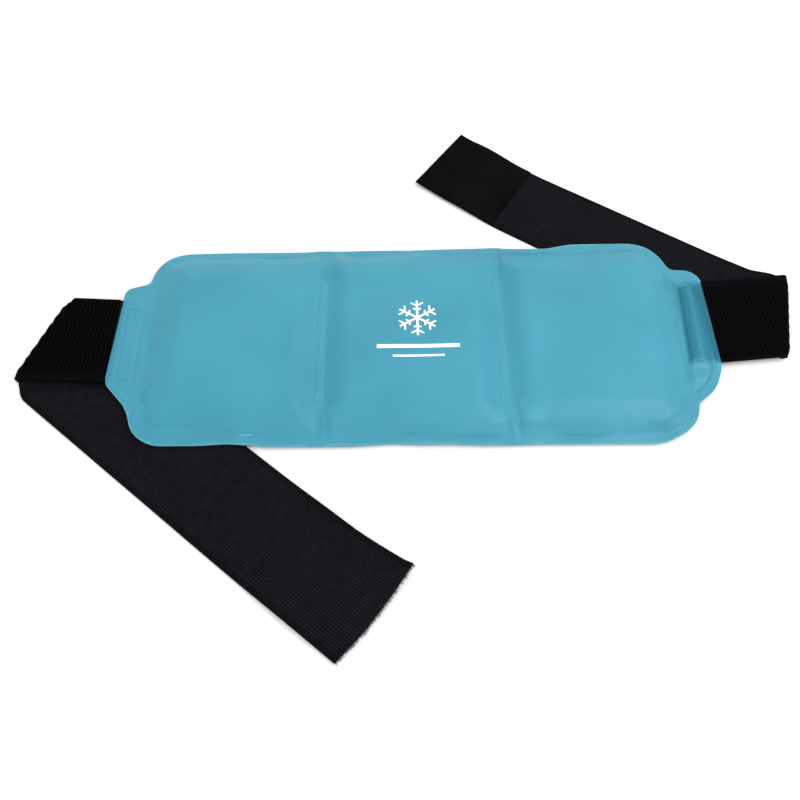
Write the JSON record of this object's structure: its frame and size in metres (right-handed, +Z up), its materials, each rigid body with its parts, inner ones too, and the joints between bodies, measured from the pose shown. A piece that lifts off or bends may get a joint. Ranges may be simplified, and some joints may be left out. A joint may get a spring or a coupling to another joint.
{
  "type": "cold compression wrap",
  "caption": "Flexible gel cold pack with welded chambers and a tab at each end, each holding a wide elastic strap that fastens by hook and loop to press the pack on a limb.",
  "frame": {"origin": "middle of the pack's middle chamber on the surface it rests on", "axes": "+X along the pack, +Y across the pack, +Z up out of the printed front face"},
  "size_m": [0.4059, 0.3045, 0.0096],
  "materials": {
    "blue_film": "satin",
    "blue_weld": "satin",
    "cold_gel": "gloss",
    "black_elastic": "matte",
    "hook_tape": "matte",
    "loop_pile": "matte"
  },
  "bodies": {
    "middle_panel": {"middle_front_film": "blue_film", "middle_back_film": "blue_film", "middle_gel": "cold_gel", "left_seam_weld": "blue_weld", "right_seam_weld": "blue_weld"},
    "left_panel": {"left_front_film": "blue_film", "left_back_film": "blue_film", "left_gel": "cold_gel", "left_tab_weld": "blue_weld", "left_strap_run": "black_elastic", "left_hook_tape": "hook_tape"},
    "right_panel": {"right_front_film": "blue_film", "right_back_film": "blue_film", "right_gel": "cold_gel", "right_tab_weld": "blue_weld", "right_strap_run": "black_elastic", "right_hook_tape": "hook_tape"},
    "left_strap": {"left_strap_free": "black_elastic"},
    "right_strap": {"right_strap_free": "black_elastic", "right_loop_patch": "loop_pile"}
  },
  "joints": [
    {"name": "left_seam_fold", "type": "hinge", "parent": "middle_panel", "child": "left_panel", "pos_m": [-0.0475, 0, 0.0034], "axis": [0, 1, 0], "range_deg": [-80, 80]},
    {"name": "right_seam_fold", "type": "hinge", "parent": "middle_panel", "child": "right_panel", "pos_m": [0.0475, 0, 0.0034], "axis": [0, -1, 0], "range_deg": [-80, 80]},
    {"name": "left_strap_unfold", "type": "hinge", "parent": "left_panel", "child": "left_strap", "pos_m": [-0.191, 0.0047, 0.002], "axis": [0.3649, 0.9311, 0], "range_deg": [0, 180]},
    {"name": "right_strap_unfold", "type": "hinge", "parent": "right_panel", "child": "right_strap", "pos_m": [0.1994, 0.011, 0.002], "axis": [-0.2504, -0.9681, 0], "range_deg": [0, 180]}
  ]
}
